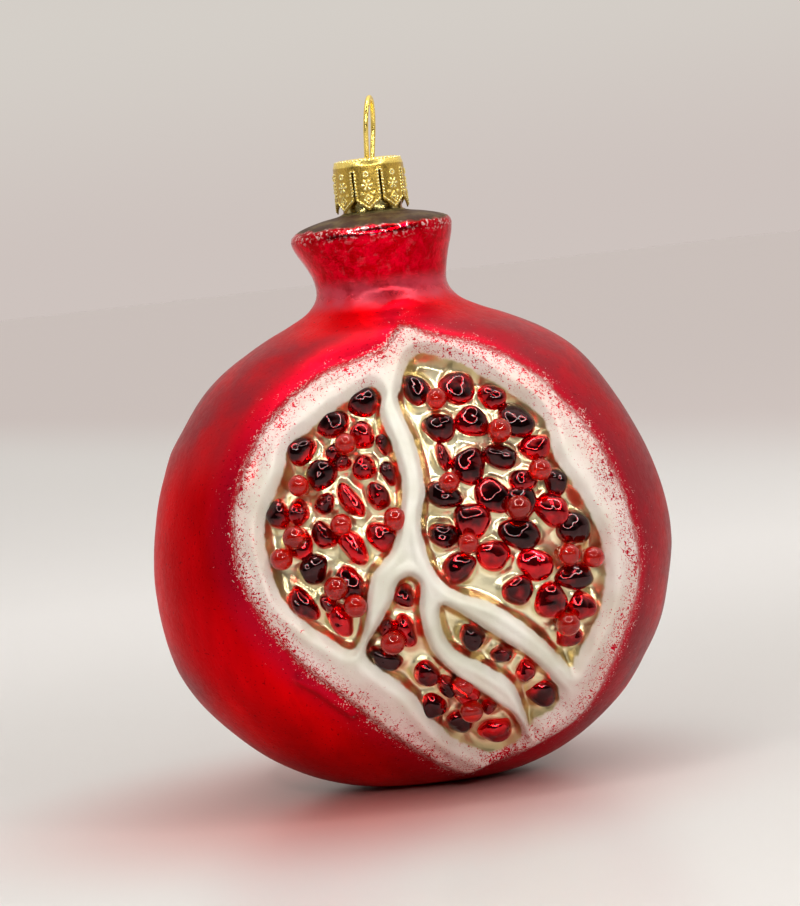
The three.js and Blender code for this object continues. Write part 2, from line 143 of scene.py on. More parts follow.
# Relief seeds by well: across, level, length, width, angle of the long way, and
# tone of the lacquer from 0 near black to 1 bright red
SEEDS = {
    "left": [
        (-5.0, 24.6, 4.9, 4.4, 20, 0.25), (-10.0, 21.9, 4.9, 4.7, 0, 0.35),
        (-5.6, 19.7, 4.3, 3.5, 80, 0.8), (-14.8, 18.5, 4.4, 4.3, 0, 0.4),
        (-12.2, 14.4, 4.9, 4.1, 75, 0.3), (-10.0, 17.8, 3.0, 2.3, 60, 0.45),
        (-8.8, 16.0, 2.7, 2.3, 0, 0.5), (-5.7, 14.8, 4.0, 3.3, 60, 0.6),
        (-2.5, 18.2, 3.2, 2.0, 110, 0.35), (-2.1, 13.9, 3.8, 2.3, 100, 0.35),
        (-8.3, 10.2, 6.1, 2.9, 118, 0.9), (-12.4, 10.3, 3.3, 2.9, 20, 0.45),
        (-4.1, 10.4, 4.1, 3.3, 125, 0.5), (-19.6, 9.3, 4.5, 3.9, 110, 0.3),
        (-16.2, 9.5, 4.0, 3.0, 100, 0.55), (-4.3, 4.7, 4.7, 4.3, 150, 0.65),
        (-12.8, 5.6, 4.6, 3.2, 115, 0.45), (-8.6, 3.6, 5.6, 3.6, 120, 0.9),
        (-16.7, 4.7, 4.6, 4.3, 90, 0.55), (-15.0, 0.7, 4.4, 4.1, 30, 0.0),
        (-10.0, -2.2, 4.9, 4.4, 120, 0.35), (-17.2, -4.2, 5.9, 3.2, 122, 0.5),
        (-11.8, -7.3, 5.0, 3.5, 125, 0.85), (-13.4, -4.6, 3.3, 2.4, 120, 0.5),
    ],
    "low": [
        (-1.9, -4.7, 3.8, 3.0, 100, 0.45), (-2.3, -10.1, 4.9, 3.5, 110, 0.75),
        (-5.0, -9.2, 3.2, 2.4, 60, 0.5), (-5.9, -13.9, 5.0, 3.2, 150, 0.05),
        (0.0, -17.1, 4.1, 3.8, 130, 0.45), (0.8, -22.4, 4.3, 3.8, 120, 0.3),
        (3.0, -19.6, 3.8, 2.6, 115, 0.3), (5.8, -20.9, 4.4, 3.6, 150, 0.85),
        (4.3, -25.7, 4.4, 4.0, 140, 0.3), (9.6, -28.0, 5.4, 4.3, 170, 0.7),
        (9.3, -23.6, 2.8, 2.3, 0, 0.7),
    ],
    "slot": [
        (7.8, -12.0, 4.1, 3.8, 150, 0.2), (11.9, -15.5, 3.3, 3.0, 160, 0.3),
        (15.1, -18.7, 3.6, 3.0, 100, 0.7), (17.6, -22.8, 4.7, 4.2, 110, 0.3),
    ],
    "right": [
        (3.6, 25.5, 5.0, 4.0, 110, 0.3), (9.8, 25.4, 5.8, 5.0, 80, 0.45),
        (14.8, 23.4, 4.4, 4.1, 0, 0.55), (6.4, 19.6, 4.7, 4.4, 150, 0.15),
        (11.4, 19.9, 5.2, 4.3, 170, 0.4), (18.2, 19.2, 6.0, 5.1, 150, 0.15),
        (20.4, 14.9, 4.6, 4.1, 20, 0.65), (6.4, 15.2, 4.0, 2.4, 105, 0.6),
        (10.2, 13.5, 5.6, 4.7, 40, 0.3), (15.0, 14.4, 5.3, 3.8, 170, 0.1),
        (5.8, 9.5, 5.3, 4.0, 160, 0.05), (13.0, 8.8, 5.6, 5.0, 120, 0.4),
        (9.6, 5.5, 5.5, 5.0, 110, 0.45), (22.8, 9.4, 4.2, 3.4, 110, 0.2),
        (17.9, 10.2, 4.3, 3.6, 20, 0.5), (17.2, 7.0, 5.5, 5.0, 100, 0.3),
        (21.6, 5.4, 5.6, 4.6, 115, 0.65), (16.6, 2.6, 6.5, 4.4, 170, 0.15),
        (24.9, 2.0, 5.4, 5.0, 140, 0.1), (18.6, -2.6, 5.5, 4.6, 160, 0.85),
        (24.2, -5.0, 6.2, 3.8, 175, 0.25), (15.2, -6.2, 4.9, 4.3, 160, 0.35),
        (20.2, -8.2, 5.5, 4.9, 130, 0.5), (24.8, -9.8, 4.5, 4.2, 70, 0.65),
        (22.2, -14.0, 4.1, 3.3, 0, 0.5), (5.2, 3.6, 4.3, 3.8, 160, 0.25),
        (12.3, -0.4, 5.2, 4.4, 150, 0.75), (6.9, -1.5, 5.2, 4.3, 20, 0.45),
    ],
}

# Hanger: half of the bent wire in its own plane, from its inner end: across and level
WIRE_RADIUS = 0.4
WIRE_HALF = [
    (4.6, 44.5), (4.1, 46.8), (3.3, 50.0), (2.95, 52.5), (2.95, 57.0), (2.65, 60.2),
    (2.5, 62.2), (2.9, 64.4), (3.3, 66.5), (3.0, 69.0), (1.7, 71.0),
]
WIRE_TOP = 71.6
WIRE_TURN = math.radians(80)
WIRE_LEAN = math.radians(6.5)
WIRE_PIVOT = 58.5

# Camera, placed as the photograph was taken. The ornament leans to the left in it.
FRAME_W, FRAME_H = 800, 906
AXIS_PX, MIDDLE_PX = 411, 545
MM_PER_PX = 0.16
CAMERA_DISTANCE = 500.0
CAMERA_RISE = math.radians(4)
CAMERA_ROLL = math.radians(6.5)


# Small helpers for curves, fields and meshes

def smooth(low, high, value):
    t = np.clip((np.asarray(value, float) - low) / (high - low), 0, 1)
    return t * t * (3 - 2 * t)


def lerp(a, b, t):
    return a + (b - a) * t


def spline(points, per, closed=False):
    """Centripetal Catmull-Rom curve through the points, with per steps a span."""
    p = np.asarray(points, float)
    if closed:
        p = np.vstack([p[-1:], p, p[:2]])
    else:
        p = np.vstack([2 * p[0] - p[1], p, 2 * p[-1] - p[-2]])
    out = []
    for a, b, c, d in zip(p[:-3], p[1:-2], p[2:-1], p[3:]):
        knots = np.cumsum([0] + [np.linalg.norm(v) ** 0.5 for v in (b - a, c - b, d - c)])
        t = np.linspace(knots[1], knots[2], per, endpoint=False)[:, None]
        ab = lerp(a, b, (t - knots[0]) / (knots[1] - knots[0]))
        bc = lerp(b, c, (t - knots[1]) / (knots[2] - knots[1]))
        cd = lerp(c, d, (t - knots[2]) / (knots[3] - knots[2]))
        abc = lerp(ab, bc, (t - knots[0]) / (knots[2] - knots[0]))
        bcd = lerp(bc, cd, (t - knots[1]) / (knots[3] - knots[1]))
        out.append(lerp(abc, bcd, (t - knots[1]) / (knots[2] - knots[1])))
    if not closed:
        out.append(p[-2:-1])
    return np.vstack(out)


def path_lengths(points):
    """Length of a path up to each of its points."""
    return np.concatenate([[0], np.cumsum(np.linalg.norm(np.diff(points, axis=0), axis=1))])


def even(points, step):
    """The same open curve with its points an even step apart."""
    lengths = path_lengths(points)
    at = np.linspace(0, lengths[-1], max(int(lengths[-1] / step), 2) + 1)
    return np.stack([np.interp(at, lengths, points[:, k]) for k in range(points.shape[1])], 1)


def inside_distance(x, z, outline):
    """Distance from each place to a closed outline, positive inside it."""
    points = np.stack([x.ravel(), z.ravel()], 1)
    start = outline
    along = np.roll(outline, -1, axis=0) - start
    result = np.empty(len(points))
    for first in range(0, len(points), 8000):
        part = points[first:first + 8000]
        gap = part[:, None, :] - start[None]
        t = np.clip((gap * along).sum(2) / (along ** 2).sum(1), 0, 1)
        near = np.sqrt(((gap - t[..., None] * along) ** 2).sum(2)).min(1)
        above = start[None, :, 1] > part[:, 1:2]
        crosses = above != np.roll(above, -1, axis=1)
        rise = np.where(along[:, 1] == 0, 1e-9, along[:, 1])
        reach = start[:, 0] + (part[:, 1:2] - start[:, 1]) * along[:, 0] / rise
        odd = (crosses & (part[:, 0:1] < reach)).sum(1) % 2 == 1
        result[first:first + 8000] = np.where(odd, near, -near)
    return result.reshape(x.shape)


def ripples(x, z, wavelength, seed, count=9):
    """Soft uneven waves between about -1 and 1, the same on each run."""
    rng = np.random.default_rng(seed)
    total = np.zeros_like(x)
    for _ in range(count):
        turn = rng.uniform(0, 2 * math.pi)
        size = wavelength * rng.uniform(0.7, 1.5)
        phase = rng.uniform(0, 2 * math.pi)
        total += np.sin((x * math.cos(turn) + z * math.sin(turn)) * 2 * math.pi / size + phase)
    return total / math.sqrt(count)


def grid_faces(rows, cols, wrap=False):
    """Quads of a grid of points, as rows of four indices."""
    r = np.arange(rows - 1)[:, None]
    c = np.arange(cols if wrap else cols - 1)[None, :]
    right = (c + 1) % cols
    low, high = r * cols, (r + 1) * cols
    return np.stack([low + c, low + right, high + right, high + c], -1).reshape(-1, 4)


def fan(pole, first, count, back=False):
    """Triangles between a pole and a ring of points, the other way round where back is set."""
    ring = [(first + i, first + (i + 1) % count) for i in range(count)]
    return [(pole, b, a) if back else (pole, a, b) for a, b in ring]


def make_object(name, points, faces, material, fields=None):
    """A smooth mesh object from points in millimetres over the flat, and faces."""
    mesh = bpy.data.meshes.new(name)
    mesh.from_pydata((np.asarray(points) * MM).tolist(), [], [list(map(int, f)) for f in faces])
    mesh.shade_smooth()
    for field, values in (fields or {}).items():
        layer = mesh.attributes.new(field, "FLOAT", "POINT")
        layer.data.foreach_set("value", np.asarray(values, np.float32).ravel())
    mesh.materials.append(material)
    thing = bpy.data.objects.new(name, mesh)
    bpy.context.scene.collection.objects.link(thing)
    return thing


def grid_normals(grid, wrap=False):
    """Outward normals of a grid of points whose rows run up and columns run right."""
    if wrap:
        across = np.roll(grid, -1, axis=1) - np.roll(grid, 1, axis=1)
    else:
        across = np.gradient(grid, axis=1)
    up = np.gradient(grid, axis=0)
    normal = np.cross(across, up)
    return normal / np.maximum(np.linalg.norm(normal, axis=2, keepdims=True), 1e-9)


# Shape of the glass body

def flat_share(level):
    return 1 - smooth(ROUND_FROM, ROUND_TO, level)


def press(c, s, radius, level):
    """Point of the pressed body for a direction (c, s) round the neck's axis."""
    share = flat_share(level)
    front = s < 0
    depth = lerp(1.0, np.where(front, FRONT_DEPTH, BACK_DEPTH), share)
    power = np.where(front, lerp(2.0, FRONT_POWER, share), 2.0)
    shift = CALYX_SHIFT * smooth(CALYX_START, CALYX_RIM, level)
    shift = shift * (1 - smooth(CALYX_RIM, CALYX_END, level))
    left = np.interp(level, SIDE_TRIM[:, 0], SIDE_TRIM[:, 1])
    right = np.interp(level, SIDE_TRIM[:, 0], SIDE_TRIM[:, 2])
    trim = np.where(c < 0, -left, right) * smooth(TRIM_FROM, 1, np.abs(c))
    x = radius * np.sign(c) * np.abs(c) ** (2 / power) + shift + trim
    y = radius * depth * np.sign(s) * np.abs(s) ** (2 / power)
    return np.stack([x, y, level + MIDDLE_Z], -1)


def body_curve(step):
    """Profile of the whole glass from the middle of the flat to the stub, evenly stepped."""
    body = spline(BODY_PROFILE + CALYX_PROFILE + [(STUB_FOOT, STUB_RADIUS)], 12)
    flat = [(-MIDDLE_Z, r) for r in np.arange(0.0, FLAT_RADIUS, 0.5)]
    stub = [(level, STUB_RADIUS) for level in np.arange(54.0, STUB_TOP + 0.1, 0.5)]
    return even(np.vstack([flat, body, stub]), step)


def unrolled(level, radius):
    """Level that goes on falling across the flat, so that distances stay true there."""
    return level - np.maximum(FLAT_RADIUS - radius, 0) * (level < 0.5 - MIDDLE_Z)


def undulate(points):
    """Soft unevenness of blown glass, out along the normal, on the skin."""
    turn = np.arctan2(points[..., 1], points[..., 0])
    level = points[..., 2] - MIDDLE_Z
    band = smooth(-36, -20, level) * (1 - smooth(28, 40, level))
    return UNEVEN_HEIGHT * ripples(turn * UNEVEN_ROUND, level, UNEVEN_LENGTH, 5) * band


CUT = spline(CUT_OUTLINE, 8, closed=True)
WELL_CURVES = {name: spline(points, 8, closed=True) for name, points in WELLS.items()}


def well_distance(x, level):
    return np.max([inside_distance(x, level, c) for c in WELL_CURVES.values()], axis=0)


def lifted(grid, normal, flat, lift):
    """Across and level at which points of the skin are seen once they stand out by a lift."""
    return grid[..., 0] + lift * normal[..., 0], flat + lift * normal[..., 2]


def face_point(x, level):
    """Skin point and outward normal at a place on the opened face."""
    curve = body_curve(0.3)
    curve = curve[(curve[:, 1] > 8.9) & (curve[:, 0] < 45)]

    def skin(px, pz):
        radius = np.interp(pz, curve[:, 0], curve[:, 1])
        share = flat_share(pz)
        depth = lerp(1.0, FRONT_DEPTH, share)
        power = lerp(2.0, FRONT_POWER, share)
        inside = np.clip(1 - np.abs(px / radius) ** power, 0, None)
        return -radius * depth * inside ** (1 / power)

    h = 0.5
    slope_x = (skin(x + h, level) - skin(x - h, level)) / (2 * h)
    slope_z = (skin(x, level + h) - skin(x, level - h)) / (2 * h)
    normal = np.array([slope_x, -1.0, slope_z])
    return np.array([x, skin(x, level), level + MIDDLE_Z]), normal / np.linalg.norm(normal)


def seed_frame(x, level):
    """Middle of a seed whose middle is seen at a place, the normal, and its place on the skin."""
    skin, normal = face_point(x, level)
    deep = (SEED_MIDDLE - SEED_SEEN) / -normal[1]
    middle = skin + (0, deep, 0) - normal * SEED_SEEN
    root = middle + normal * SEED_MIDDLE
    return middle, normal, (root[0], root[2] - MIDDLE_Z)


def seed_distance(x, level):
    """Distance on the skin to the foot of the nearest relief seed."""
    nearest = np.full(x.shape, 50.0)
    for seen_x, seen_level, long, wide, angle, _ in sum(SEEDS.values(), []):
        sx, sz = seed_frame(seen_x, seen_level)[2]
        a = math.radians(angle)
        u = ((x - sx) * math.cos(a) + (level - sz) * math.sin(a)) / (long / 2)
        v = (-(x - sx) * math.sin(a) + (level - sz) * math.cos(a)) / (wide / 2)
        nearest = np.minimum(nearest, (np.sqrt(u * u + v * v) - 1) * wide / 2)
    return np.clip(nearest, 0, None)


def fold_distance(x, level):
    """Distance to the small pressed fold under the lower left rim."""
    best = np.full(x.shape, 1e9)
    for (ax, az), (bx, bz) in zip(FOLD[:-1], FOLD[1:]):
        wide, tall = bx - ax, bz - az
        t = ((x - ax) * wide + (level - az) * tall) / (wide ** 2 + tall ** 2)
        t = np.clip(t, 0, 1)
        best = np.minimum(best, np.hypot(x - ax - t * wide, level - az - t * tall))
    return best


def mound(distance, width):
    """Soft round mound of height 1 over a distance of 0."""
    return np.exp(-(distance / width) ** 2)


def face_height(x, level, cut, well, seed):
    """Relief of the opened face over the skin, in millimetres."""
    rim = RIM_RISE * smooth(*WALL_SLOPE, cut)
    rim += RIM_BEAD * mound(cut - 1.1, SOFT_WIDTH)
    crest = CREST_RISE * mound(well + 1.3, SOFT_WIDTH) * smooth(0.5, 2.5, cut)
    enamel = UNEVEN_HEIGHT * ripples(x, level, RIPPLE_LENGTH, 11) * smooth(0, 2, cut)
    drop = smooth(*WALL_SLOPE, well)
    floor = FLOOR_RIPPLE * ripples(x, level, RIPPLE_LENGTH, 3) + SEED_FOOT * mound(seed, 0.65)
    ridge = FOLD_RISE * mound(fold_distance(x, level), SOFT_WIDTH)
    return (rim + crest + enamel) * (1 - drop) + (floor - WELL_DEPTH) * drop + ridge


# Materials

class Nodes:
    """Short calls for the nodes of one tree."""

    def __init__(self, tree):
        self.tree = tree

    def feed(self, socket, value):
        if isinstance(value, bpy.types.NodeSocket):
            self.tree.links.new(value, socket)
        elif isinstance(value, tuple) and len(value) == 3 and len(socket.default_value) == 4:
            socket.default_value = (*value, 1.0)
        else:
            socket.default_value = value

    def place(self, kind="Object"):
        return self.tree.nodes.new("ShaderNodeTexCoord").outputs[kind]

    def parts(self, vector):
        split = self.tree.nodes.new("ShaderNodeSeparateXYZ")
        self.feed(split.inputs[0], vector)
        return split.outputs

    def math(self, kind, a, b=0.0):
        node = self.tree.nodes.new("ShaderNodeMath")
        node.operation = kind
        for socket, value in zip(node.inputs, (a, b)):
            self.feed(socket, value)
        return node.outputs[0]

    def plus(self, a, b):
        return self.math("ADD", a, b)

    def minus(self, a, b):
        return self.math("SUBTRACT", a, b)

    def times(self, a, b):
        return self.math("MULTIPLY", a, b)

    def most(self, a, b):
        return self.math("MAXIMUM", a, b)

    def length(self, a, b):
        return self.math("SQRT", self.plus(self.times(a, a), self.times(b, b)))

    def fade(self, value, low, high, to_low=0.0, to_high=1.0):
        node = self.tree.nodes.new("ShaderNodeMapRange")
        node.interpolation_type = "SMOOTHSTEP"
        ends = (value, low, high, to_low, to_high)
        names = ("Value", "From Min", "From Max", "To Min", "To Max")
        for name, end in zip(names, ends):
            self.feed(node.inputs[name], end)
        return node.outputs["Result"]

    def blend(self, share, a, b):
        node = self.tree.nodes.new("ShaderNodeMix")
        node.data_type = "RGBA"
        self.feed(node.inputs["Factor"], share)
        self.feed(node.inputs[6], a)
        self.feed(node.inputs[7], b)
        return node.outputs[2]

    def between(self, share, a, b):
        node = self.tree.nodes.new("ShaderNodeMix")
        node.data_type = "FLOAT"
        self.feed(node.inputs[0], share)
        self.feed(node.inputs[2], a)
        self.feed(node.inputs[3], b)
        return node.outputs[0]


class Look(Nodes):
    """A material under construction."""

    def __init__(self, name):
        self.material = bpy.data.materials.new(name)
        self.material.use_nodes = True
        super().__init__(self.material.node_tree)
        self.shader = self.tree.nodes["Principled BSDF"]

    def set(self, **values):
        for name, value in values.items():
            self.feed(self.shader.inputs[name.replace("_", " ")], value)

    def along(self, axis):
        """Place along an axis, in millimetres."""
        return self.math("DIVIDE", self.parts(self.place())[axis], MM)

    def level(self):
        return self.minus(self.along("Z"), MIDDLE_Z)

    def field(self, name):
        node = self.tree.nodes.new("ShaderNodeAttribute")
        node.attribute_name = name
        return node.outputs["Fac"]

    def noise(self, size, detail=3.0, roughness=0.5, stretch=None, distortion=0.0):
        node = self.tree.nodes.new("ShaderNodeTexNoise")
        place = self.place()
        if stretch:
            scale = self.tree.nodes.new("ShaderNodeMapping")
            scale.inputs["Scale"].default_value = stretch
            self.feed(scale.inputs["Vector"], place)
            place = scale.outputs["Vector"]
        values = (place, 1.0 / (size * MM), detail, roughness, distortion)
        names = ("Vector", "Scale", "Detail", "Roughness", "Distortion")
        for name, value in zip(names, values):
            self.feed(node.inputs[name], value)
        return node.outputs["Fac"]

    def bump(self, height, distance, strength=1.0, under=None):
        node = self.tree.nodes.new("ShaderNodeBump")
        self.feed(node.inputs["Strength"], strength)
        node.inputs["Distance"].default_value = distance * MM
        self.feed(node.inputs["Height"], height)
        if under is not None:
            self.feed(node.inputs["Normal"], under)
        return node.outputs["Normal"]


RED_BRIGHT = (0.86, 0.0, 0.004)
RED_DEEP = (0.55, 0.0, 0.003)
RED_RIM = (0.55, 0.005, 0.026)
# Dusty matte red that also stands for painted grazing sheen at the edges
RED_DUST_AND_SHEEN = (0.21, 0.005, 0.012)
# Pink of the painted highlight in the calyx throat
RED_THROAT_HIGHLIGHT = (0.50, 0.05, 0.08)
RED_STAIN = (0.12, 0.0, 0.004)
EDGE_TINT = (1.0, 0.70, 0.72)
ENAMEL = (0.81, 0.79, 0.71)
ENAMEL_SHADE = (0.68, 0.67, 0.55)
GOLD_CREAM = (0.97, 0.89, 0.60)
# Dark olive gold for the stains and for the painted shade in the wells
GOLD_STAIN_AND_SHADE = (0.46, 0.34, 0.11)
OLIVE = (0.05, 0.024, 0.013)
OLIVE_LIGHT = (0.11, 0.075, 0.03)
CALYX_DARK = (0.44, 0.0, 0.003)
CALYX_BRIGHT = (0.74, 0.0, 0.015)
SCUFF = (0.80, 0.22, 0.26)
SPARKLE = (1.0, 0.62, 0.60)
STUB_GOLD = (0.50, 0.42, 0.16)
STIPPLE_PINK = (0.70, 0.34, 0.36)
SEED_DARK = (0.03, 0.0, 0.001)
SEED_BRIGHT = (0.85, 0.0, 0.008)
BEAD_DEEP = (0.80, 0.004, 0.002)
BEAD_BRIGHT = (0.95, 0.03, 0.008)
GLUE_RED = (0.7, 0.02, 0.005)
GLUE_PALE = (0.85, 0.16, 0.04)
BRASS = (1.0, 0.69, 0.13)
BRASS_PALE = (1.0, 0.82, 0.24)
STAMP_FIELD_SHADE = (0.42, 0.24, 0.02)
STAMP_RAISED_HIGHLIGHT = (1.0, 0.93, 0.50)
RING_WHITE = (1.0, 0.985, 0.96)
BLACK = (0, 0, 0)


def red_lacquer(look):
    """Colour, roughness and metal share of the satin red lacquer over the mirrored glass."""
    cloud = look.noise(14, 3, 0.5, stretch=(1, 1, 0.35))
    streak = look.noise(3.5, 4, 0.6, stretch=(1, 1, 0.12))
    colour = look.blend(look.fade(cloud, 0.35, 0.65), RED_DEEP, RED_BRIGHT)
    colour = look.blend(look.fade(streak, 0.58, 0.75, 0.0, 0.5), colour, RED_DEEP)
    # Crimson next to the rim, and away from it a matte dusty bloom that also holds painted sheen
    # where the edges catch grazing light, thin on the left
    cut = look.field("cut_distance")
    colour = look.blend(look.fade(cut, -6.0, -1.0, 0.0, 0.85), colour, RED_RIM)
    across, level = look.along("X"), look.level()
    right = look.fade(across, 12, 26, 0.0, 0.95)
    left = look.fade(across, -36, -41, 0.0, 0.15)
    shoulder = look.fade(level, 12, 23, 0.0, 0.95)
    dust_and_sheen = look.most(look.most(right, left), shoulder)
    dust_and_sheen = look.times(dust_and_sheen, look.fade(level, 37.5, 33.5))
    # The low edge gets the dust and painted sheen too
    outward = look.length(across, level)
    low_edge = look.times(look.fade(outward, 36.0, 40.5, 0.0, 0.8), look.fade(level, -6, -18))
    dust_and_sheen = look.most(dust_and_sheen, low_edge)
    right_side = look.fade(across, -10, 12)
    start = look.between(right_side, -2.0, -0.3)
    full = look.between(right_side, -5.0, -2.2)
    dust_and_sheen = look.times(dust_and_sheen, look.fade(cut, start, full))
    patchy = look.fade(look.noise(9, 4, 0.6), 0.3, 0.6, 0.55, 1.0)
    dust_and_sheen = look.times(dust_and_sheen, patchy)
    colour = look.blend(dust_and_sheen, colour, RED_DUST_AND_SHEEN)
    speck = look.noise(0.42, 2, 0.5)
    colour = look.blend(look.fade(speck, 0.64, 0.72, 0.0, 0.6), colour, RED_STAIN)
    rough = look.fade(look.noise(1.2, 4, 0.6), 0.3, 0.7, 0.36, 0.46)
    metal = look.minus(1.0, dust_and_sheen)
    return colour, rough, metal


def lacquer_bump(look):
    """Fine orange peel over a softer unevenness, the same on the skin and the face."""
    fine = look.bump(look.noise(0.6, 4, 0.6), 0.045, 0.8)
    return look.bump(look.noise(2.4, 3, 0.6), 0.12, 0.4, under=fine)


def skin_look():
    look = Look("red lacquer on mirrored glass")
    colour, rough, metal = red_lacquer(look)
    level = look.level()
    # The calyx is glossier and mottled, with pale sparkle under its rim
    calyx = look.fade(level, 38.5, 42)
    mottle = look.fade(look.noise(1.6, 5, 0.65, distortion=0.6), 0.38, 0.62)
    deep = look.blend(mottle, CALYX_DARK, CALYX_BRIGHT)
    scuff = look.fade(look.noise(1.5, 5, 0.7, distortion=0.8), 0.54, 0.72)
    scuff = look.times(scuff, look.fade(level, 45, 50, 0.1, 0.35))
    deep = look.blend(scuff, deep, SCUFF)
    colour = look.blend(calyx, colour, deep)
    edge = look.plus(level, look.times(look.noise(2.2, 4, 0.6), 1.6))
    sparkle = look.fade(look.noise(0.6, 3, 0.6), 0.52, 0.64)
    near_rim = look.fade(edge, 49.8, 51.6)
    colour = look.blend(look.times(sparkle, near_rim), colour, SPARKLE)
    # A painted soft pink highlight in the throat, where the calyx meets the body
    throat_highlight = look.times(look.fade(level, 38.0, 40.0), look.fade(level, 44.0, 41.5))
    throat_highlight = look.times(throat_highlight, look.fade(look.noise(3, 4, 0.6), 0.3, 0.6, 0.35, 0.8))
    colour = look.blend(throat_highlight, colour, RED_THROAT_HIGHLIGHT)
    metal = look.minus(metal, throat_highlight)
    olive = look.fade(edge, 51.9, 52.4)
    tone = look.blend(look.fade(look.noise(2.5, 4, 0.6), 0.4, 0.7), OLIVE, OLIVE_LIGHT)
    colour = look.blend(olive, colour, tone)
    stub = look.fade(level, 53.2, 53.7)
    colour = look.blend(stub, colour, STUB_GOLD)
    shine = look.times(calyx, look.minus(1.0, olive))
    rough = look.minus(rough, look.times(shine, 0.22))
    rough = look.plus(rough, look.times(olive, 0.15))
    rough = look.minus(rough, look.times(stub, 0.3))
    metal = look.between(olive, metal, 0.1)
    metal = look.most(metal, stub)
    look.set(Base_Color=colour, Roughness=rough, Metallic=metal, Normal=lacquer_bump(look))
    look.set(Specular_IOR_Level=0.2, Specular_Tint=EDGE_TINT)
    return look.material


def face_look():
    look = Look("enamel and gold mirror of the opened face")
    red, rough, red_metal = red_lacquer(look)
    cut = look.field("cut_distance")
    well = look.field("well_distance")
    # White enamel, stippled over the red round the rim, over a wider band on the right
    fine = look.noise(0.6, 2.5, 0.6, distortion=2.0)
    wander = look.times(look.minus(look.noise(5, 2, 0.5), 0.5), 3.0)
    reach = look.plus(cut, wander)
    band = look.fade(look.along("X"), -15, 10, 6.5, 8.0)
    cover = look.fade(reach, -2.8, 1.8, 0.27, 0.53)
    cover = look.plus(cover, look.fade(reach, 0.2, band, 0.0, 0.24))
    white = look.fade(look.minus(cover, fine), -0.02, 0.02)
    shade = look.blend(look.fade(look.noise(9, 3, 0.5), 0.35, 0.7), ENAMEL, ENAMEL_SHADE)
    pink = look.fade(reach, 0.0, band, 0.45, 0.0)
    shade = look.blend(pink, shade, STIPPLE_PINK)
    colour = look.blend(white, red, shade)
    # Gold mirror in the wells, with random stains, and painted shade down the walls and round the
    # feet of the seeds
    gold = look.fade(look.plus(well, look.times(look.noise(1.5, 2), 0.5)), 0.25, 0.5)
    stain = look.fade(look.noise(5, 2, 0.5, distortion=0.5), 0.45, 0.65, 0.0, 0.6)
    wall = look.fade(well, 1.5, 0.4, 0.0, 0.7)
    foot = look.fade(look.field("seed_distance"), 0.9, 0.1, 0.0, 0.5)
    deep = look.most(look.most(stain, wall), foot)
    mirror = look.blend(deep, GOLD_CREAM, GOLD_STAIN_AND_SHADE)
    colour = look.blend(gold, colour, mirror)
    rough = look.times(rough, look.between(white, 1.0, 0.8))
    rough = look.between(gold, rough, 0.3)
    metal = look.between(white, red_metal, 0.0)
    metal = look.most(metal, gold)
    brushed = look.times(look.minus(white, gold), 0.4)
    crumple = look.noise(2.6, 3, 0.5, distortion=0.4)
    crumple = look.bump(crumple, 0.25, brushed, under=lacquer_bump(look))
    look.set(Base_Color=colour, Roughness=rough, Metallic=metal, Normal=crumple)
    glaze = look.times(look.most(white, gold), 0.25)
    look.set(Specular_IOR_Level=0.2, Specular_Tint=EDGE_TINT)
    look.set(Coat_Weight=glaze, Coat_Roughness=0.2)
    return look.material


def seed_look():
    look = Look("ruby lacquer on mirrored seeds")
    tone = look.field("tone")
    cloud = look.times(look.minus(look.noise(1.8, 2), 0.5), 1.2)
    tone = look.plus(tone, cloud)
    # Painted reflection and shade: darker on the crown, brighter down the sides, as mirrored
    # seeds show the dark front and the bright surroundings
    tone = look.plus(tone, look.fade(look.field("crown"), 0.35, 0.95, 0.3, -0.25))
    colour = look.blend(look.fade(tone, 0.0, 1.1), SEED_DARK, SEED_BRIGHT)
    dent = look.bump(look.noise(1.6, 2, 0.4), 0.3, 0.7)
    look.set(Base_Color=colour, Metallic=0.95, Roughness=0.07, Normal=dent)
    look.set(Coat_Weight=1.0, Coat_Roughness=0.015, Coat_IOR=1.36)
    return look.material


def bead_look():
    look = Look("translucent red bead glass")
    swirl = look.noise(1.6, 3, 0.5)
    colour = look.blend(swirl, BEAD_DEEP, BEAD_BRIGHT)
    look.set(Base_Color=colour, Roughness=0.06, Normal=look.bump(look.noise(1.5, 2), 0.05, 0.4))
    look.set(Transmission_Weight=0.75, IOR=1.35, Specular_IOR_Level=0.2)
    look.set(Coat_Weight=0.8, Coat_Roughness=0.02, Coat_IOR=1.4)
    return look.material


def glue_look():
    look = Look("red tinted glue")
    colour = look.blend(look.noise(1.0, 3), GLUE_RED, GLUE_PALE)
    look.set(Base_Color=colour, Roughness=0.12, Transmission_Weight=0.8, IOR=1.45)
    look.set(Normal=look.bump(look.noise(0.6, 3), 0.1, 0.6))
    return look.material


def gold_look(name, metal, stamped_relief):
    look = Look(name)
    colour = look.blend(look.noise(1.4, 4, 0.6), BRASS, BRASS_PALE)
    rough = look.fade(look.noise(0.8, 3, 0.6), 0.3, 0.7, 0.22, 0.32)
    if stamped_relief:
        relief = look.field("relief")
        # Painted shade on the low field round the stamped pattern, and painted highlight on its
        # raised parts
        colour = look.blend(look.fade(relief, 0.0, 0.45, 0.75, 0.0), colour, STAMP_FIELD_SHADE)
        colour = look.blend(look.fade(relief, 0.5, 0.9, 0.0, 1.0), colour, STAMP_RAISED_HIGHLIGHT)
    look.set(Base_Color=colour, Metallic=metal, Roughness=rough)
    return look.material


# Pieces of the glass body

SKIN_STEP = 0.75
SKIN_SIDES = 280
FACE_STEP = 0.3
FACE_TURNS = (-49, 74)
FACE_TOP = 41.5
FACE_EDGE = -4.3
SEED_SIDES, SEED_ROWS = 44, 22
BEAD_SIDES, BEAD_ROWS = 48, 30
OUTSIDE = -50.0


